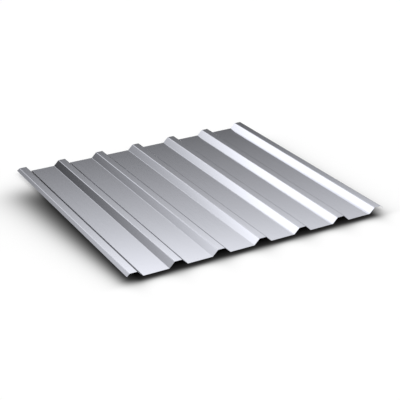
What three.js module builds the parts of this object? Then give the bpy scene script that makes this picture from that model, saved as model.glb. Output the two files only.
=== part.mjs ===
// A corrugated metal sheet of the trapezoidal kind, used for roofs and walls. One strip of thin
// galvanised steel is rolled lengthways into narrow box ribs with wide flat pans between them.
// Each long edge ends in a rib whose outer side is a free lip that stops part of the way down,
// so that the edge rib of the next sheet drops over it.
//
// The sheet lies as it does on a roof, ribs up. In its frame, in millimetres, +X runs across the
// ribs, +Y along them and +Z up. The origin is under the middle of the sheet, in the plane of
// the pans' undersides.
import * as THREE from "three";

// The sheet.
const sheetLength = 900;
const sheetThickness = 0.55;

// The profile. It is laid out on the sheet's middle line, halfway through its thickness, between
// the corners where the flats would meet if the bends were sharp.
const ribCount = 7;
const ribPitch = 152.4;
const ribDepth = 19.05; // from the pans up to the crowns
const crownWidth = 25.4;
const webRun = 19.05; // how far a web leans sideways on its way up

// The lip that hangs from the outer side of each edge rib. It lies a little flatter than a web.
const lipDepth = 8.3; // down from the crown
const lipRun = 9.9; // out from the crown

// The rolls leave a small round inside every bend. Those beside the pans are the tighter ones.
const crownBendRadius = 2;
const panBendRadius = 0.8;
const flatsPerBend = 6;

const halfThickness = sheetThickness / 2;
const crownMiddle = halfThickness + ribDepth;

const web = { run: webRun, depth: ribDepth };
const lip = { run: lipRun, depth: lipDepth };

// A corner of the middle line, and the radius that the middle line takes round it.
function corner(x, y, radiusInside) {
  return { point: new THREE.Vector2(x, y), bendRadius: radiusInside + halfThickness };
}

// One rib's corners, from left to right. Its two sides are each a web or a lip.
function ribCorners(centre, left, right) {
  const leftEdge = centre - crownWidth / 2;
  const rightEdge = centre + crownWidth / 2;
  return [
    corner(leftEdge - left.run, crownMiddle - left.depth, panBendRadius),
    corner(leftEdge, crownMiddle, crownBendRadius),
    corner(rightEdge, crownMiddle, crownBendRadius),
    corner(rightEdge + right.run, crownMiddle - right.depth, panBendRadius),
  ];
}

// All the corners, from the left edge of the sheet to the right one.
function middleLine() {
  const corners = [];
  for (let rib = 0; rib < ribCount; rib++) {
    const centre = (rib - (ribCount - 1) / 2) * ribPitch;
    const left = rib === 0 ? lip : web;
    const right = rib === ribCount - 1 ? lip : web;
    corners.push(...ribCorners(centre, left, right));
  }
  return corners;
}

// A flat between two corners: the way along it, and the way square to it on the walker's left.
function flatBetween(start, end) {
  const way = end.point.clone().sub(start.point).normalize();
  return { way, left: new THREE.Vector2(-way.y, way.x) };
}

// The round at a corner, on the face to the left of the walk. Both faces of the sheet turn about
// one centre, so the outer radius is the inner one plus the thickness.
function bendPoints({ point, bendRadius }, before, after) {
  const side = Math.sign(before.way.cross(after.way)); // 1 where the walk turns left, else -1
  const turn = before.way.angleTo(after.way);
  const setback = bendRadius * Math.tan(turn / 2);
  const centre = point
    .clone()
    .addScaledVector(before.way, -setback)
    .addScaledVector(before.left, side * bendRadius);
  const radius = bendRadius - side * halfThickness;
  const startAngle = before.left.clone().multiplyScalar(-side).angle();
  const endAngle = startAngle + side * turn;
  const round = new THREE.ArcCurve(centre.x, centre.y, radius, startAngle, endAngle, side < 0);
  return round.getPoints(flatsPerBend);
}

// One face of the sheet, on the left of the walk along these corners, from cut edge to cut edge.
function facePoints(corners) {
  const flats = corners.slice(1).map((next, index) => flatBetween(corners[index], next));
  const start = corners[0].point.clone().addScaledVector(flats[0].left, halfThickness);
  const end = corners.at(-1).point.clone().addScaledVector(flats.at(-1).left, halfThickness);
  const bends = flats
    .slice(1)
    .map((flat, index) => bendPoints(corners[index + 1], flats[index], flat));
  return [start, ...bends.flat(), end];
}

// The sheet's section: out along its upper face, and back along its underside.
function sectionShape() {
  const corners = middleLine();
  const upperFace = facePoints(corners);
  const underside = facePoints(corners.toReversed());
  return new THREE.Shape([...upperFace, ...underside]);
}

// The section drawn out along the ribs, then turned from its drawing plane to stand upright.
function corrugatedSheet() {
  const geometry = new THREE.ExtrudeGeometry(sectionShape(), {
    depth: sheetLength,
    bevelEnabled: false,
  });
  geometry.rotateX(Math.PI / 2);
  geometry.translate(0, sheetLength / 2, 0);
  const galvanised = new THREE.MeshStandardMaterial({
    color: 0xb9bcc3,
    metalness: 1,
    roughness: 0.4,
  });
  const sheet = new THREE.Mesh(geometry, galvanised);
  sheet.name = "corrugated_sheet";
  return sheet;
}

const part = new THREE.Group();
part.add(corrugatedSheet());

export default part;
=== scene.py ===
# %% [markdown]
# # A corrugated metal sheet
#
# The real thing is a strip of zinc-coated steel half a millimetre thick. A line of rollers folds
# it, a little more at each stand, into seven narrow box ribs with wide flat pans between them.
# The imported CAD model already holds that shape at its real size. It is the fixed frame here, and
# this script dresses it: a finer mesh of the same sheet, the bright satin of rolled zinc, the
# bare steel of the sheared edges, and a plain studio.
#
# Everything is in metres. +X runs across the ribs, +Y along them and +Z up, and the pans lie on
# the plane z = 0.

# %% Load the frame
import math

import bpy
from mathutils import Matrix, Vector


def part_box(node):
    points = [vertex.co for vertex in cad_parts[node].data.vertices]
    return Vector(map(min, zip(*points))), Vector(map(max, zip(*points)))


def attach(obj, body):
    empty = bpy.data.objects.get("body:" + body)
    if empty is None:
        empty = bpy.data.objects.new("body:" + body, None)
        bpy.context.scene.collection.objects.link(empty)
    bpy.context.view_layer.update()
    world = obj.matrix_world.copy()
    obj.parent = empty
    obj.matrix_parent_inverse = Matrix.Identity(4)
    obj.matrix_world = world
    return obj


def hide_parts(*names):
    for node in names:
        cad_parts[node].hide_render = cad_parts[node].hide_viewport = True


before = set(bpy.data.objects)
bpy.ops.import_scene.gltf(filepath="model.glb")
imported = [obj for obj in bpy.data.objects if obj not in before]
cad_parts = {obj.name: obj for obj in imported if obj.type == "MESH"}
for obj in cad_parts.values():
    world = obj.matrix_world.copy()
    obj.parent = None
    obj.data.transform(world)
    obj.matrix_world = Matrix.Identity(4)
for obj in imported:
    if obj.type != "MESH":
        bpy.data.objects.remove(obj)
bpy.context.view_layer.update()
sheet_low, sheet_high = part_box("corrugated_sheet")
print("frame:", sorted(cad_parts), "from", tuple(sheet_low), "to", tuple(sheet_high))

# %% [markdown]
# ## The camera
#
# A long lens looks down on the sheet from its left front, a little over a quarter of the way up.
# A camera could be placed by hand, but its angles say more: how far it is turned round the sheet,
# how high it stands, how far off it is, and which point of the floor it aims at. The long lens
# keeps the ribs almost parallel, as on a catalogue page.

# %% Place the camera
SENSOR_WIDTH_MM = 36.0
LENS_MM = 96.0
CAMERA_TURN = math.radians(-29.74)  # round the sheet, from straight in front of it
CAMERA_ELEVATION = math.radians(25.28)
CAMERA_DISTANCE = 3.6735
AIM = Vector((-0.0144, -0.0728, 0.0))


def make_camera():
    """The camera, looking at the aim point and held level."""
    camera = bpy.data.objects.new("camera", bpy.data.cameras.new("camera"))
    bpy.context.scene.collection.objects.link(camera)
    level = math.cos(CAMERA_ELEVATION)
    away = Vector(
        (
            math.sin(CAMERA_TURN) * level,
            -math.cos(CAMERA_TURN) * level,
            math.sin(CAMERA_ELEVATION),
        )
    )
    camera.location = AIM + away * CAMERA_DISTANCE
    camera.rotation_euler = (-away).to_track_quat("-Z", "Y").to_euler()
    camera.data.sensor_width = SENSOR_WIDTH_MM
    camera.data.lens = LENS_MM
    return camera


bpy.context.scene.camera = make_camera()
print("camera at", tuple(round(v, 3) for v in bpy.context.scene.camera.location))

# %% [markdown]
# ## Building node trees
#
# The sheet's shape, its finishes, the floor and the light are all node trees. Nodes could be
# joined one line at a time, but a few small helpers keep each tree readable as a sum. One feeds a
# socket with either a plain value or another node's output, one adds a node, one does arithmetic,
# one takes a vector apart and one scales it.

# %% Helpers for node trees


def feed(tree, socket, value):
    """Gives an input socket a value: another node's output, or a plain number or colour."""
    if isinstance(value, bpy.types.NodeSocket):
        tree.links.new(value, socket)
    else:
        socket.default_value = value


def add_node(tree, kind, inputs=None, **settings):
    """A new node, with its settings and then its inputs, which are named or numbered."""
    node = tree.nodes.new(kind)
    for name, value in settings.items():
        setattr(node, name, value)
    for key, value in (inputs or {}).items():
        feed(tree, node.inputs[key], value)
    return node


def calculate(tree, operation, *values, clamp=False):
    """One step of arithmetic on numbers or fields."""
    node = add_node(tree, "ShaderNodeMath", dict(enumerate(values)), operation=operation)
    node.use_clamp = clamp
    return node.outputs[0]


def split_axes(tree, vector):
    """The X, Y and Z of a vector."""
    return add_node(tree, "ShaderNodeSeparateXYZ", {0: vector}).outputs


def scale_by(tree, vector, factor):
    """A vector or a colour, made larger or smaller by a number."""
    node = add_node(tree, "ShaderNodeVectorMath", {0: vector, "Scale": factor}, operation="SCALE")
    return node.outputs[0]


helpers = (feed, add_node, calculate, split_axes, scale_by)
print("helpers for node trees:", [helper.__name__ for helper in helpers])

# %% [markdown]
# ## The streaks that rolling leaves
#
# Rolls leave very long faint streaks along the strip. A picture of metal could be wrapped round
# the sheet, but it would hold one room's reflections for ever. So a metal shader mirrors the real
# surroundings here, and noise on Object coordinates only changes its tint and its roughness.
#
# The zinc and the sheared edge carry the same kind of streak at different sizes, so the streak is
# a node group with two inputs, built once and placed in both materials.

# %% The rolling streaks


def make_streak_group():
    """A group that puts out streaks drawn out along the rolling direction, from 0 to 1."""
    group = bpy.data.node_groups.new("Rolling streaks", "ShaderNodeTree")
    sockets = group.interface
    sockets.new_socket("Streaks per metre", in_out="INPUT", socket_type="NodeSocketFloat")
    sockets.new_socket("Stretch", in_out="INPUT", socket_type="NodeSocketFloat")
    sockets.new_socket("Streak", in_out="OUTPUT", socket_type="NodeSocketFloat")
    given = group.nodes.new("NodeGroupInput").outputs
    per_metre = given["Streaks per metre"]
    place = group.nodes.new("ShaderNodeTexCoord").outputs["Object"]
    axes = split_axes(group, place)
    across = calculate(group, "MULTIPLY", axes["X"], per_metre)
    along_scale = calculate(group, "DIVIDE", per_metre, given["Stretch"])
    along = calculate(group, "MULTIPLY", axes["Y"], along_scale)
    up = calculate(group, "MULTIPLY", axes["Z"], per_metre)
    stretched = add_node(group, "ShaderNodeCombineXYZ", {0: across, 1: along, 2: up})
    noise = add_node(
        group,
        "ShaderNodeTexNoise",
        {"Vector": stretched.outputs[0], "Scale": 1.0, "Detail": 3.0, "Roughness": 0.6},
    )
    result = group.nodes.new("NodeGroupOutput")
    feed(group, result.inputs["Streak"], noise.outputs["Fac"])
    return group


streak_group = make_streak_group()
print("made the group", streak_group.name)

# %% Helpers for the two metals


def new_metal(name, streaks_per_metre, stretch):
    """A bare metal: its material, its tree, its shader and its streaks."""
    material = bpy.data.materials.new(name)
    material.use_nodes = True
    tree = material.node_tree
    surface = tree.nodes["Principled BSDF"]
    surface.inputs["Metallic"].default_value = 1.0
    streaks = add_node(tree, "ShaderNodeGroup", node_tree=streak_group)
    streaks.inputs["Streaks per metre"].default_value = streaks_per_metre
    streaks.inputs["Stretch"].default_value = stretch
    return material, tree, surface, streaks.outputs["Streak"]


def vary_colour(tree, colour, mask, change):
    """A colour made lighter and darker by a mask from 0 to 1, by this share either way."""
    return scale_by(tree, colour, calculate(tree, "MULTIPLY_ADD", mask, 2 * change, 1 - change))


print("helpers for metals:", new_metal.__name__, vary_colour.__name__)

# %% [markdown]
# ## The satin zinc of the faces
#
# Hot-dip zinc on a rolled strip is bright and satin. It has no colour of its own beyond a cool
# grey, and what one sees in it is the room, softened. The zinc freezes into crystals a few
# millimetres wide, the spangle, which differ a little in tint and in how much they scatter. Shade
# is also painted into the colour by height: the pans a touch darker, the crowns a touch lighter.
#
# The spangle could be modelled as bumps, but on such smooth zinc it is flat. A Voronoi pattern
# gives each crystal its own two numbers, one for its tint and one for its roughness. The painted
# shade follows the height above the pans.

# %% The satin zinc
ZINC_COLOUR = (0.615, 0.627, 0.688)
ZINC_ROUGHNESS = 0.08
ZINC_ROUGHNESS_CHANGE = 0.02  # by the crystals, and as much again by the streaks
ZINC_STREAKS_PER_METRE = 160.0
ZINC_STREAK_STRETCH = 60.0
ZINC_STREAK_TINT = 0.02
SPANGLE_SIZE = 0.0025
SPANGLE_TINT = 0.008
PAINTED_SHADE_BY_HEIGHT = 0.016  # painted shade: how much lighter the crowns and darker the pans are than a web's middle


def make_zinc():
    """Rolled zinc: a satin metal with faint streaks, fine crystals and painted shade by height."""
    material, tree, surface, streak = new_metal(
        "satin_zinc", ZINC_STREAKS_PER_METRE, ZINC_STREAK_STRETCH
    )
    place = tree.nodes.new("ShaderNodeTexCoord").outputs["Object"]
    crystals = add_node(
        tree, "ShaderNodeTexVoronoi", {"Vector": place, "Scale": 1 / SPANGLE_SIZE}
    )
    crystal = add_node(tree, "ShaderNodeSeparateColor", {0: crystals.outputs["Color"]}).outputs
    height = calculate(tree, "DIVIDE", split_axes(tree, place)["Z"], sheet_high.z, clamp=True)
    tinted = vary_colour(tree, ZINC_COLOUR, streak, ZINC_STREAK_TINT)
    tinted = vary_colour(tree, tinted, crystal[0], SPANGLE_TINT)
    # painted shade by height: the pans a touch darker, the crowns a touch lighter
    tinted = vary_colour(tree, tinted, height, PAINTED_SHADE_BY_HEIGHT)
    feed(tree, surface.inputs["Base Color"], tinted)
    rough = ZINC_ROUGHNESS - ZINC_ROUGHNESS_CHANGE
    for mask in (crystal[1], streak):
        rough = calculate(tree, "MULTIPLY_ADD", mask, ZINC_ROUGHNESS_CHANGE, rough)
    feed(tree, surface.inputs["Roughness"], rough)
    return material


zinc = make_zinc()
print("made the finish", zinc.name)

# %% [markdown]
# ## The bare steel of the sheared edges
#
# The guillotine cuts part of the way into the strip and tears the rest. That leaves a thin line
# of bare steel round the sheet, darker and rougher than the zinc, with short marks down the cut.
# A strip of mesh could carry it, but it is the same sheet, so it is a second material, which the
# sheet's own tree gives to the faces of the edge.

# %% The sheared steel
STEEL_COLOUR = (0.42, 0.43, 0.46)
STEEL_ROUGHNESS = 0.35
STEEL_ROUGHNESS_CHANGE = 0.2
STEEL_MARKS_PER_METRE = 900.0
STEEL_MARK_STRETCH = 4.0
STEEL_MARK_TINT = 0.25


def make_sheared_steel():
    """Bare steel, torn across by the guillotine."""
    material, tree, surface, mark = new_metal(
        "sheared_steel", STEEL_MARKS_PER_METRE, STEEL_MARK_STRETCH
    )
    tinted = vary_colour(tree, STEEL_COLOUR, mark, STEEL_MARK_TINT)
    feed(tree, surface.inputs["Base Color"], tinted)
    rough = calculate(tree, "MULTIPLY_ADD", mark, STEEL_ROUGHNESS_CHANGE, STEEL_ROUGHNESS)
    feed(tree, surface.inputs["Roughness"], rough)
    return material


sheared_steel = make_sheared_steel()
print("made the finish", sheared_steel.name)

# %% [markdown]
# ## The sheet's section
#
# A rollformer draws a section on the strip's middle line: the corners where its flats would meet,
# then the radius of each bend. The CAD model was drawn the same way, so the same sizes are named
# here, and what the frame can say is read from it.
#
# Only the bends are a little rounder than in the CAD model, 2.5 and 1.6 mm inside where it has
# 2.0 and 0.8. A bend is where bright metal catches a narrow band of light, and its width shows.
# The surface moves by a tenth of a millimetre at most.

# %% Name the sizes of the section
RIB_COUNT = 7
RIB_PITCH = 0.1524
THICKNESS = 0.00055
CROWN_WIDTH = 0.0254
WEB_RUN = 0.01905  # how far a web leans sideways on its way up
LIP_DEPTH = 0.0083  # how far the free lip of an edge rib hangs down from its crown
LIP_RUN = 0.0099  # and how far out it reaches
LIP_EASE = 0.117  # how much a lip's slope eases for each metre towards the back
LIP_TRUE_AT = -0.14  # where along the ribs its slope is exactly as drawn
CROWN_BEND_RADIUS = 0.0025  # inside the bends at the crowns
PAN_BEND_RADIUS = 0.0016  # inside the tighter bends beside the pans

sheet_length = sheet_high.y - sheet_low.y
rib_depth = sheet_high.z - sheet_low.z - THICKNESS
print(f"section: {RIB_COUNT} ribs {rib_depth * 1000:.2f} mm deep, {sheet_length:.3f} m long")

# %% [markdown]
# ## Rolling the sheet with Geometry Nodes
#
# The ribs repeat and every corner follows one rule, so the sheet is grown by a node tree and not
# pushed into shape by hand. The tree lays out four corners for each rib by counting points,
# joins them into a line, rounds each corner, and sweeps that line along the ribs. Then it springs
# the two free lips and gives the surface its thickness.
#
# The sizes are inputs of the tree, so another profile is a matter of typing other numbers.

# %% The tree's inputs
CORNERS_PER_RIB = 4  # a foot, the crown's two edges, a foot
TREE_INPUTS = {
    "Rib count": ("NodeSocketInt", RIB_COUNT),
    "Rib pitch": ("NodeSocketFloat", RIB_PITCH),
    "Rib depth": ("NodeSocketFloat", rib_depth),
    "Crown width": ("NodeSocketFloat", CROWN_WIDTH),
    "Web run": ("NodeSocketFloat", WEB_RUN),
    "Lip depth": ("NodeSocketFloat", LIP_DEPTH),
    "Lip run": ("NodeSocketFloat", LIP_RUN),
    "Lip ease": ("NodeSocketFloat", LIP_EASE),
    "Lip true at": ("NodeSocketFloat", LIP_TRUE_AT),
    "Crown bend": ("NodeSocketFloat", CROWN_BEND_RADIUS + THICKNESS / 2),  # of the middle line
    "Pan bend": ("NodeSocketFloat", PAN_BEND_RADIUS + THICKNESS / 2),
    "Flats per bend": ("NodeSocketInt", 8),
    "Thickness": ("NodeSocketFloat", THICKNESS),
    "Sheet length": ("NodeSocketFloat", sheet_length),
    "Mesh step": ("NodeSocketFloat", 0.009),  # the widest face across a flat
    "Rows": ("NodeSocketInt", 46),  # of points along the ribs
}
print("the tree takes", len(TREE_INPUTS), "inputs:", ", ".join(TREE_INPUTS))

# %% Helpers for the section


def choose(tree, condition, if_false, if_true):
    """One of two numbers, by a yes or no."""
    node = add_node(tree, "GeometryNodeSwitch", input_type="FLOAT")
    feed(tree, node.inputs["Switch"], condition)
    feed(tree, node.inputs["False"], if_false)
    feed(tree, node.inputs["True"], if_true)
    return node.outputs[0]


def pitches_to_edge(tree, given):
    """How many rib pitches there are from the middle of the sheet to an edge rib."""
    return calculate(tree, "MULTIPLY_ADD", given["Rib count"], 0.5, -0.5)


print("helpers for the section:", choose.__name__, pitches_to_edge.__name__)

# %% The corners of the section, by counting points


def corner_rule(tree, given):
    """Each corner's place and bend. Four to a rib: a foot, the crown's two edges, a foot."""
    index = tree.nodes.new("GeometryNodeInputIndex").outputs[0]
    rib = calculate(tree, "FLOOR", calculate(tree, "DIVIDE", index, CORNERS_PER_RIB))
    corner = calculate(tree, "MULTIPLY_ADD", rib, -CORNERS_PER_RIB, index)
    from_middle = calculate(tree, "SUBTRACT", corner, (CORNERS_PER_RIB - 1) / 2)
    side = calculate(tree, "SIGN", from_middle)
    is_foot = calculate(tree, "GREATER_THAN", calculate(tree, "ABSOLUTE", from_middle), 1.0)

    last = calculate(tree, "MULTIPLY_ADD", given["Rib count"], CORNERS_PER_RIB, -1.0)
    is_first = calculate(tree, "LESS_THAN", index, 0.5)
    is_last = calculate(tree, "GREATER_THAN", index, calculate(tree, "SUBTRACT", last, 0.5))
    is_free = calculate(tree, "ADD", is_first, is_last)

    foot_run = choose(tree, is_free, given["Web run"], given["Lip run"])
    foot_depth = choose(tree, is_free, given["Rib depth"], given["Lip depth"])
    run = choose(tree, is_foot, 0.0, foot_run)
    depth = choose(tree, is_foot, 0.0, foot_depth)

    ribs_along = calculate(tree, "SUBTRACT", rib, pitches_to_edge(tree, given))
    centre = calculate(tree, "MULTIPLY", ribs_along, given["Rib pitch"])
    reach = calculate(tree, "MULTIPLY_ADD", given["Crown width"], 0.5, run)
    x = calculate(tree, "MULTIPLY_ADD", side, reach, centre)
    crown = calculate(tree, "MULTIPLY_ADD", given["Thickness"], 0.5, given["Rib depth"])
    z = calculate(tree, "SUBTRACT", crown, depth)
    place = add_node(tree, "ShaderNodeCombineXYZ", {"X": x, "Z": z}).outputs[0]
    return place, choose(tree, is_foot, given["Crown bend"], given["Pan bend"])


print("the section has", RIB_COUNT * CORNERS_PER_RIB, "corners, two of them the lips' free ends")

# %% The rounded section line


def cuts_to_next(tree, given):
    """How many cuts the piece from each point to the next takes, by its length."""
    here = tree.nodes.new("GeometryNodeInputPosition").outputs[0]
    index = tree.nodes.new("GeometryNodeInputIndex").outputs[0]
    following = add_node(
        tree,
        "GeometryNodeFieldAtIndex",
        {"Index": calculate(tree, "ADD", index, 1.0), "Value": here},
        data_type="FLOAT_VECTOR",
        domain="POINT",
    )
    gap = add_node(
        tree, "ShaderNodeVectorMath", {0: here, 1: following.outputs[0]}, operation="DISTANCE"
    )
    steps = calculate(tree, "DIVIDE", gap.outputs["Value"], given["Mesh step"])
    return calculate(tree, "FLOOR", steps)


def section_line(tree, given):
    """The middle line as a curve, with its bends rounded and its flats cut into short steps."""
    count = calculate(tree, "MULTIPLY", given["Rib count"], CORNERS_PER_RIB)
    points = add_node(tree, "GeometryNodeMeshLine", {"Count": count}, mode="OFFSET")
    place, bend_radius = corner_rule(tree, given)
    placed = add_node(
        tree, "GeometryNodeSetPosition", {"Geometry": points.outputs[0], "Position": place}
    )
    line = add_node(tree, "GeometryNodeMeshToCurve", {0: placed.outputs[0]})
    rounded = add_node(
        tree,
        "GeometryNodeFilletCurve",
        {"Curve": line.outputs[0], "Count": given["Flats per bend"], "Radius": bend_radius},
        mode="POLY",
    )
    return add_node(
        tree,
        "GeometryNodeSubdivideCurve",
        {"Curve": rounded.outputs[0], "Cuts": cuts_to_next(tree, given)},
    ).outputs[0]


print("its faces are at most", TREE_INPUTS["Mesh step"][1], "m wide")

# %% The swept surface


def swept_surface(tree, given):
    """The section line swept along the ribs, as one surface without thickness."""
    half = calculate(tree, "MULTIPLY", given["Sheet length"], 0.5)
    start = add_node(tree, "ShaderNodeCombineXYZ", {"X": half})
    end = add_node(tree, "ShaderNodeCombineXYZ", {"X": calculate(tree, "MULTIPLY", half, -1.0)})
    straight = add_node(
        tree,
        "GeometryNodeCurvePrimitiveLine",
        {"Start": start.outputs[0], "End": end.outputs[0]},
    )
    rows = add_node(
        tree,
        "GeometryNodeResampleCurve",
        {"Curve": straight.outputs[0], "Count": given["Rows"]},
    )
    upright = add_node(
        tree,
        "GeometryNodeSetCurveNormal",
        {"Curve": section_line(tree, given)},
        mode="Z_UP",
    )
    return add_node(
        tree,
        "GeometryNodeCurveToMesh",
        {"Curve": upright.outputs[0], "Profile Curve": rows.outputs[0]},
    ).outputs[0]


print("the section is swept through", TREE_INPUTS["Rows"][1], "rows of points")

# %% [markdown]
# ## The free lips
#
# A web is held at its foot by the pan beside it, but nothing holds the outer side of an edge rib.
# Once it leaves the rolls it springs by a hair: the lip hangs a little steeper near the front end
# and a little flatter towards the back. It could be bent by hand, but each of its points moves by
# one rule, up by its distance out from the last bend and by its place along the sheet. So it is
# one field, and everything inside the last bends stays as drawn.

# %% Spring the lips


def sprung_lips(tree, given, surface):
    """The surface with its two lips sprung along the sheet."""
    axes = split_axes(tree, tree.nodes.new("GeometryNodeInputPosition").outputs[0])
    last_rib = calculate(tree, "MULTIPLY", pitches_to_edge(tree, given), given["Rib pitch"])
    last_bend = calculate(tree, "MULTIPLY_ADD", given["Crown width"], 0.5, last_rib)
    out = calculate(tree, "SUBTRACT", calculate(tree, "ABSOLUTE", axes["X"]), last_bend)
    reach = calculate(tree, "MAXIMUM", out, 0.0)
    along = calculate(tree, "SUBTRACT", axes["Y"], given["Lip true at"])
    ease = calculate(tree, "MULTIPLY", along, given["Lip ease"])
    lift = add_node(
        tree, "ShaderNodeCombineXYZ", {"Z": calculate(tree, "MULTIPLY", reach, ease)}
    )
    return add_node(
        tree, "GeometryNodeSetPosition", {"Geometry": surface, "Offset": lift.outputs[0]}
    ).outputs[0]


for end_name, end_at in (("front", sheet_low.y), ("back", sheet_high.y)):
    lift_mm = LIP_RUN * LIP_EASE * (end_at - LIP_TRUE_AT) * 1000
    print(f"at the {end_name} end the lips spring {lift_mm:+.2f} mm")

# %% [markdown]
# ## From a surface to a sheet
#
# So far the tree has the sheet's middle surface. Solidify could thicken it, but then the sheared
# edge would have to be found again afterwards. In the tree the edge comes out by itself: the
# surface moves down by half the thickness, one copy is pushed up by the whole of it, and the
# strip that the push leaves round the rim is the edge. The other copy, turned over, is the
# underside, and the points where the two meet are merged.

# %% Give it its thickness
MERGE_DISTANCE = 0.00001


def thickened(tree, given, surface):
    """The closed body of the sheet, and which of its faces are the sheared edge."""
    normal = tree.nodes.new("GeometryNodeInputNormal").outputs[0]
    half_down = calculate(tree, "MULTIPLY", given["Thickness"], -0.5)
    underside = add_node(
        tree,
        "GeometryNodeSetPosition",
        {"Geometry": surface, "Offset": scale_by(tree, normal, half_down)},
    ).outputs[0]
    pushed = add_node(
        tree,
        "GeometryNodeExtrudeMesh",
        {"Mesh": underside, "Offset Scale": given["Thickness"], "Individual": False},
        mode="FACES",
    )
    turned = add_node(tree, "GeometryNodeFlipFaces", {"Mesh": underside})
    both = tree.nodes.new("GeometryNodeJoinGeometry")
    feed(tree, both.inputs[0], pushed.outputs["Mesh"])
    feed(tree, both.inputs[0], turned.outputs[0])
    closed = add_node(
        tree,
        "GeometryNodeMergeByDistance",
        {"Geometry": both.outputs[0], "Distance": MERGE_DISTANCE},
    )
    return closed.outputs[0], pushed.outputs["Side"]


print(f"the sheet gets {THICKNESS * 1000:.2f} mm of thickness")

# %% The whole tree


def make_sheet_tree():
    """The tree from its named inputs to a closed sheet in its two finishes."""
    tree = bpy.data.node_groups.new("Roll-formed sheet", "GeometryNodeTree")
    tree.is_modifier = True
    for name, (kind, _) in TREE_INPUTS.items():
        tree.interface.new_socket(name, in_out="INPUT", socket_type=kind)
    tree.interface.new_socket("Sheet", in_out="OUTPUT", socket_type="NodeSocketGeometry")
    given = tree.nodes.new("NodeGroupInput").outputs
    surface = sprung_lips(tree, given, swept_surface(tree, given))
    body, is_edge = thickened(tree, given, surface)
    real = add_node(tree, "GeometryNodeRealizeInstances", {0: body})
    faced = add_node(
        tree, "GeometryNodeSetMaterial", {"Geometry": real.outputs[0], "Material": zinc}
    )
    edged = add_node(
        tree,
        "GeometryNodeSetMaterial",
        {"Geometry": faced.outputs[0], "Selection": is_edge, "Material": sheared_steel},
    )
    result = tree.nodes.new("NodeGroupOutput")
    feed(tree, result.inputs["Sheet"], edged.outputs[0])
    return tree


sheet_tree = make_sheet_tree()
print("made the tree", sheet_tree.name, "with", len(sheet_tree.nodes), "nodes")

# %% [markdown]
# ## From the tree to a mesh
#
# A tree works on whatever object carries it, and this one starts from nothing, so the carrier is
# empty. Its sizes are set by each socket's identifier before Blender first evaluates it. The live
# modifier could stay, but the finished part is a plain mesh that any program can read, so what
# the tree made is copied from the evaluated object and the modifier goes.

# %% Run the tree and keep its mesh


def settle(piece):
    """Makes the shape that a piece's modifiers give it its own plain mesh."""
    scene_graph = bpy.context.evaluated_depsgraph_get()
    mesh = bpy.data.meshes.new_from_object(
        piece.evaluated_get(scene_graph), preserve_all_data_layers=True, depsgraph=scene_graph
    )
    piece.modifiers.clear()
    piece.data = mesh


def run_tree(tree, values, name):
    """Evaluates the tree once on an empty object, which then holds its result."""
    carrier = bpy.data.objects.new(name, bpy.data.meshes.new(name))
    bpy.context.scene.collection.objects.link(carrier)
    modifier = carrier.modifiers.new("rolling", "NODES")
    modifier.node_group = tree
    for socket in tree.interface.items_tree:
        if socket.in_out == "INPUT":
            modifier[socket.identifier] = values[socket.name][1]
    settle(carrier)
    slots = carrier.data.materials
    while None in slots[:]:  # the tree leaves an empty slot before its materials
        slots.pop(index=slots[:].index(None))
    return carrier


sheet = run_tree(sheet_tree, TREE_INPUTS, "rolled_sheet")
print("rolled", len(sheet.data.vertices), "points and", len(sheet.data.polygons), "faces")

# %% [markdown]
# ## Smooth bends between true flats
#
# Metal this bright shows every error of its shading: if a bend's rounding leaked into the flats,
# each pan would look bowed. Smooth shading averages the faces round a point, so a narrow face of
# a bend would tilt the wide flat beside it. Weighted normals let the large face win. The flats
# then stay flat up to the bend, and the sheared edges stay crisp because they are marked sharp.

# %% Shade the sheet
CRISP_ANGLE = math.radians(40)
LARGEST_FACE_WINS = 100  # the modifier's highest weight


def finish_shading(piece):
    """Smooth faces, crisp sheared edges, and normals that follow the widest faces."""
    piece.data.shade_smooth()
    piece.data.set_sharp_from_angle(angle=CRISP_ANGLE)
    weighted = piece.modifiers.new("weighted", "WEIGHTED_NORMAL")
    weighted.keep_sharp = True
    weighted.weight = LARGEST_FACE_WINS
    settle(piece)


finish_shading(sheet)
print("materials on the sheet:", [m.name for m in sheet.data.materials])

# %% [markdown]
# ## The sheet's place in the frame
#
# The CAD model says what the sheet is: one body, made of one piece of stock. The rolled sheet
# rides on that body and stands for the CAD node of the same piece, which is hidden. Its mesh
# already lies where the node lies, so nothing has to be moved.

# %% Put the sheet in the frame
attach(sheet, "root")
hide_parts("corrugated_sheet")
print("the rolled sheet stands for the CAD node corrugated_sheet")

# %% [markdown]
# ## The light
#
# Bright metal is lit by what it mirrors. A plain pale room gives it a soft tone from every side.
# Two screens hang behind the sheet, one to either side, lit from above and left dark at the foot,
# and the wall shows in the gap between them. Each web or pan that mirrors a screen takes its tone
# from the angle at which it stands. Lamps would show as hot spots on such metal, so the light is
# the world itself: a dome painted with the room, the screens and the gap.
#
# The room's brightness follows how high a direction points. The screens' follows how near it lies
# to their own axis, which leans a little to the front. They cover the directions that point well
# back but not straight back. Together they give the floor a plain level, at which a colour
# renders about as it is written.

# %% The levels of the room and the screens
ROOM_RAMP = ((0.0, 0.28), (0.2, 0.52), (0.5, 0.98), (1.0, 1.22))  # height, then brightness
SCREEN_AXIS = Vector((-0.012, -0.152, 1.0)).normalized()
SCREEN_RAMP = (  # height along the screens' axis, then brightness
    (0.10, 0.02),
    (0.20, 0.06),
    (0.24, 0.22),
    (0.28, 0.47),
    (0.32, 0.82),
    (0.36, 1.35),
    (0.385, 1.66),
    (0.48, 1.66),
    (0.55, 1.0),
)
SCREEN_EDGES = (  # the axis a direction is measured along, where an edge starts and is over
    ("X", -0.62, -0.50),
    ("Y", 0.45, 0.68),
    ("Y", 0.96, 0.885),
)
GAP_EDGES = (0.10, 0.29)  # either side of straight back, where the gap ends and a screen is full
GAP_RAMP = ((0.30, 1.0), (0.42, 1.0), (0.50, 0.5))  # the wall seen between the screens

brightest = max(level for _, level in SCREEN_RAMP)
print("the screens are", brightest, "at their brightest, the room", ROOM_RAMP[-1][1], "overhead")

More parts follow.
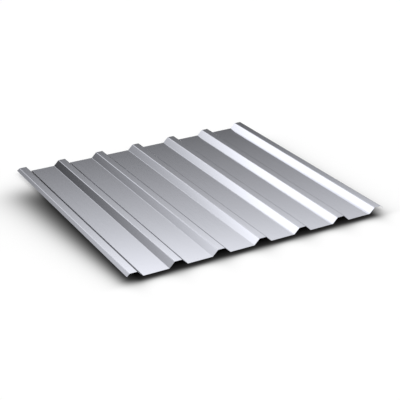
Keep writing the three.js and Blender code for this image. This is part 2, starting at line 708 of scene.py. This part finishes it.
# %% Helpers for the light


def along_ramp(tree, value, stops):
    """A number read off a ramp, given as places and levels."""
    node = add_node(tree, "ShaderNodeValToRGB", {"Fac": value})
    elements = node.color_ramp.elements
    while len(elements) < len(stops):
        elements.new(1.0)
    for element, (place, level) in zip(elements, stops):
        element.position = place
        element.color = (level, level, level, 1)
    return node.outputs["Color"]


def soft_step(tree, value, start, end):
    """A soft step, from 0 at the start to 1 at the end."""
    node = add_node(
        tree,
        "ShaderNodeMapRange",
        {"Value": value, "From Min": start, "From Max": end},
        interpolation_type="SMOOTHSTEP",
    )
    return node.outputs["Result"]


def blend(tree, share, first, second):
    """From the first number to the second, by a share from 0 to 1."""
    node = add_node(
        tree, "ShaderNodeMix", {"Factor": share, "A": first, "B": second}, data_type="FLOAT"
    )
    return node.outputs["Result"]


print("helpers for the light:", along_ramp.__name__, soft_step.__name__, blend.__name__)

# %% The dome of light


def make_dome():
    """The world as a plain soft room, with two graded screens behind the sheet."""
    world = bpy.data.worlds.new("dome")
    bpy.context.scene.world = world
    world.use_nodes = True
    tree = world.node_tree
    way = tree.nodes.new("ShaderNodeTexCoord").outputs["Generated"]
    axes = split_axes(tree, way)
    height = add_node(
        tree, "ShaderNodeVectorMath", {0: way, 1: SCREEN_AXIS}, operation="DOT_PRODUCT"
    ).outputs["Value"]
    room = along_ramp(tree, axes["Z"], ROOM_RAMP)
    screens = along_ramp(tree, height, SCREEN_RAMP)
    gap = along_ramp(tree, height, GAP_RAMP)
    past_gap = soft_step(tree, calculate(tree, "ABSOLUTE", axes["X"]), *GAP_EDGES)
    screens = blend(tree, past_gap, gap, screens)
    share = 1.0
    for axis, start, end in SCREEN_EDGES:
        share = calculate(tree, "MULTIPLY", soft_step(tree, axes[axis], start, end), share)
    background = tree.nodes["Background"]
    background.inputs["Color"].default_value = (1, 1, 1, 1)
    feed(tree, background.inputs["Strength"], blend(tree, share, room, screens))
    return world


print("made the world", make_dome().name)

# %% [markdown]
# ## The soft shadow
#
# The sheet lies on a plain floor, in light that comes from above and a little from behind. Its
# shadow is deep and soft: it starts black under the sheet, spreads forward and to the left,
# widens towards the back and dies out before it gets there. A dome alone only greys the floor
# under the ribs. Lamps behind the sheet could throw more, but bright metal would show each lamp
# as a hot spot. So the shadow is worked out in the floor's own colour, from the distance to each
# side of the sheet, and it lies on top of the faint one that the dome throws.
#
# Each side fades by the same rule: full shade up to where the fading starts, half of it at a
# named place further out, and a power that says how steeply it goes.

# %% How the shade fades


def distance_out(tree, place, start, half):
    """How far out a place is: 0 up to where the fading starts, and 1 where half is left."""
    outward = calculate(tree, "MAXIMUM", calculate(tree, "SUBTRACT", place, start), 0.0)
    return calculate(tree, "DIVIDE", outward, calculate(tree, "SUBTRACT", half, start))


def shade_kept(tree, distance, power, slow_share=0.0):
    """How much of the shade is left that far out. A slow share of the fading starts gently."""
    steep = calculate(
        tree, "MULTIPLY", calculate(tree, "POWER", distance, power), 1 - slow_share
    )
    loss = calculate(tree, "MULTIPLY_ADD", distance, slow_share, steep)
    return calculate(tree, "DIVIDE", 1.0, calculate(tree, "ADD", loss, 1.0))


print("helpers for the shadow:", distance_out.__name__, shade_kept.__name__)

# %% In front of the cut end, where the shadow follows the ribs
CUT_END = -sheet_length / 2
FRONT_HALF = 0.0358  # out from the cut end
FRONT_HALF_AT_RIBS = 0.0022  # added before a rib, and taken off between ribs
FRONT_POWER = 4.49
FRONT_POWER_AT_RIBS = -0.89
RIB_SHIFT = 0.0153  # how far to the left of each rib its part of the shadow lies
RIB_TURN = 2 * math.pi / RIB_PITCH  # turns a way across the ribs into the phase of their wave


def front_shade(tree, across, along):
    """The distance out in front of the cut end, and the shade that is left there."""
    phase = calculate(tree, "MULTIPLY", calculate(tree, "ADD", across, RIB_SHIFT), RIB_TURN)
    wave = calculate(tree, "COSINE", phase)
    half = calculate(tree, "MULTIPLY_ADD", wave, FRONT_HALF_AT_RIBS, FRONT_HALF)
    power = calculate(tree, "MULTIPLY_ADD", wave, FRONT_POWER_AT_RIBS, FRONT_POWER)
    distance = distance_out(tree, calculate(tree, "SUBTRACT", CUT_END, along), 0.0, half)
    return distance, shade_kept(tree, distance, power)


print(f"in front, half of the shade is left {FRONT_HALF * 1000:.1f} mm out")

# %% To the left, where it widens towards the back
LEFT_LINE = 0.4664  # the line that the shadow spreads from
LEFT_SPREAD = 0.0405  # from that line to half of the shade, at the front corner
LEFT_SPREAD_GROWTH = 0.0935  # for each metre towards the back
LEFT_SPREAD_LEAST = 0.01  # where the growth would leave less, far in front
LEFT_INNER_SHARE = 0.559  # of the spread, on the inner side of the line, where the fading starts
LEFT_POWER = 4.98
LEFT_SLOW_SHARE = 0.0754


def left_shade(tree, across, along):
    """The distance out to the left of the sheet, and the shade that is left there."""
    from_front = calculate(tree, "SUBTRACT", along, CUT_END)
    spread = calculate(tree, "MULTIPLY_ADD", from_front, LEFT_SPREAD_GROWTH, LEFT_SPREAD)
    spread = calculate(tree, "MAXIMUM", spread, LEFT_SPREAD_LEAST)
    start = calculate(tree, "MULTIPLY", spread, -LEFT_INNER_SHARE)
    out = calculate(tree, "SUBTRACT", -LEFT_LINE, across)
    distance = distance_out(tree, out, start, spread)
    return distance, shade_kept(tree, distance, LEFT_POWER, LEFT_SLOW_SHARE)


print(f"to the left, it spreads {LEFT_SPREAD * 1000:.1f} mm at the front corner")

# %% All four sides together
CORNER_LOSS = 1.05  # what the rounded front corner loses of its shade
CORNER_POWER = 1.35
BACK_FADE = (-0.3, 0.295, 17.9)  # where it starts, where half is left, and the power
RIGHT_FADE = (0.4175, 0.4642, 3.06)


def shadow_share(tree, across, along):
    """The whole shadow, from 0 on the open floor to 1 where all four sides overlap."""
    front_distance, front = front_shade(tree, across, along)
    left_distance, left = left_shade(tree, across, along)
    share = calculate(tree, "MULTIPLY", front, left)
    both_out = calculate(tree, "MULTIPLY", front_distance, left_distance)
    corner = calculate(tree, "POWER", both_out, CORNER_POWER)
    loss = calculate(tree, "MULTIPLY", calculate(tree, "MULTIPLY", corner, CORNER_LOSS), share)
    share = calculate(tree, "DIVIDE", share, calculate(tree, "ADD", loss, 1.0))
    for place, (start, half, power) in ((along, BACK_FADE), (across, RIGHT_FADE)):
        fade = shade_kept(tree, distance_out(tree, place, start, half), power)
        share = calculate(tree, "MULTIPLY", fade, share)
    return share


print(f"towards the back, half of it is left {BACK_FADE[1] - CUT_END:.3f} m from the cut end")

# %% [markdown]
# ## Dark under the ribs
#
# In the openings under the ribs one looks into a low tunnel, and the floor in it gets no light.
# So past the cut end the shadow also takes the little that it leaves elsewhere. Towards the back
# and the right the shadow has died out, but the floor right under the sheet still lies in the
# dark there. So that floor has a shade of its own, which ends at the sheet's rim or just inside.

# %% The floor right under the sheet, and the light that is left
SHADOW_DEPTH = 0.981  # how much of the floor's light the shadow takes in front of the cut end
DARK_FROM = -0.018  # from the cut end to where it starts to take the rest, just in front
DARK_AT = 0.038  # and to where no light is left, in under the ribs
UNDER_DEPTH = 0.97  # how much of the light the sheet keeps off the floor right under it
UNDER_SIDES = (0.468, 0.44)  # from its middle, where that starts and where it is full
UNDER_ENDS = ((-0.415, -0.37), (0.45, 0.41))  # and the same along the ribs, at either end


def under_share(tree, across, along):
    """The dark right under the sheet, from 0 at its rim to 1 well inside."""
    share = soft_step(tree, calculate(tree, "ABSOLUTE", across), *UNDER_SIDES)
    for start, full in UNDER_ENDS:
        share = calculate(tree, "MULTIPLY", soft_step(tree, along, start, full), share)
    return share


def light_kept(tree):
    """How much of its light each point of the floor keeps."""
    axes = split_axes(tree, tree.nodes.new("ShaderNodeTexCoord").outputs["Object"])
    across, along = axes["X"], axes["Y"]
    inside = soft_step(tree, along, CUT_END + DARK_FROM, CUT_END + DARK_AT)
    depth = calculate(tree, "MULTIPLY_ADD", inside, 1 - SHADOW_DEPTH, SHADOW_DEPTH)
    taken = calculate(tree, "MULTIPLY", depth, shadow_share(tree, across, along))
    beside = calculate(tree, "SUBTRACT", 1.0, taken)
    under = calculate(tree, "MULTIPLY", under_share(tree, across, along), UNDER_DEPTH)
    return calculate(tree, "MULTIPLY", calculate(tree, "SUBTRACT", 1.0, under), beside)


print(f"right under the sheet the floor keeps {1 - UNDER_DEPTH:.2f} of its light")

# %% [markdown]
# ## The floor
#
# A studio floor is matt and pale, but far from pure white: white paint would throw so much light
# back up that the sheet's underside and its lips would shine. So the paint is a pale grey. Where
# the floor is seen, straight on or mirrored in the metal, it glows as well, by just as much as
# brings it up to clean white. That glow lights no other thing, and it has the shadow in it too.

# %% Lay the floor
FLOOR_RADIUS = 30.0
FLOOR_SIDES = 96
FLOOR_DROP = 0.0001  # a hair below the pans, so that no two faces share a plane
FLOOR_PAINT = (0.55, 0.55, 0.55)
FLOOR_GLOW = 0.84  # times the paint's own colour


def make_floor_paint():
    """Pale matt paint, darkened by the soft shadow, with its glow where it is seen."""
    material = bpy.data.materials.new("white_floor")
    material.use_nodes = True
    tree = material.node_tree
    surface = tree.nodes["Principled BSDF"]
    surface.inputs["Roughness"].default_value = 1.0
    surface.inputs["Specular IOR Level"].default_value = 0.0
    painted = scale_by(tree, FLOOR_PAINT, light_kept(tree))
    feed(tree, surface.inputs["Base Color"], painted)
    rays = tree.nodes.new("ShaderNodeLightPath").outputs
    seen = calculate(tree, "ADD", rays["Is Camera Ray"], rays["Is Glossy Ray"])
    seen = calculate(tree, "ADD", seen, rays["Is Transmission Ray"], clamp=True)
    feed(tree, surface.inputs["Emission Color"], painted)
    feed(tree, surface.inputs["Emission Strength"], calculate(tree, "MULTIPLY", seen, FLOOR_GLOW))
    return material


def make_floor():
    """A plain disc under the sheet, wide enough to fill the background."""
    bpy.ops.mesh.primitive_circle_add(
        vertices=FLOOR_SIDES, radius=FLOOR_RADIUS, fill_type="NGON", location=(0, 0, 0)
    )
    floor = bpy.context.active_object
    floor.name = "floor"
    for point in floor.data.vertices:
        point.co.z = -FLOOR_DROP
    floor.data.materials.append(make_floor_paint())
    return floor


print("made the", make_floor().name)

# %% [markdown]
# ## Colours as they are written
#
# Blender can show a scene the way film would, with softened highlights. A part that other people
# will use is better shown plainly, so the Standard view keeps each colour as it was written.

bpy.context.scene.view_settings.view_transform = "Standard"
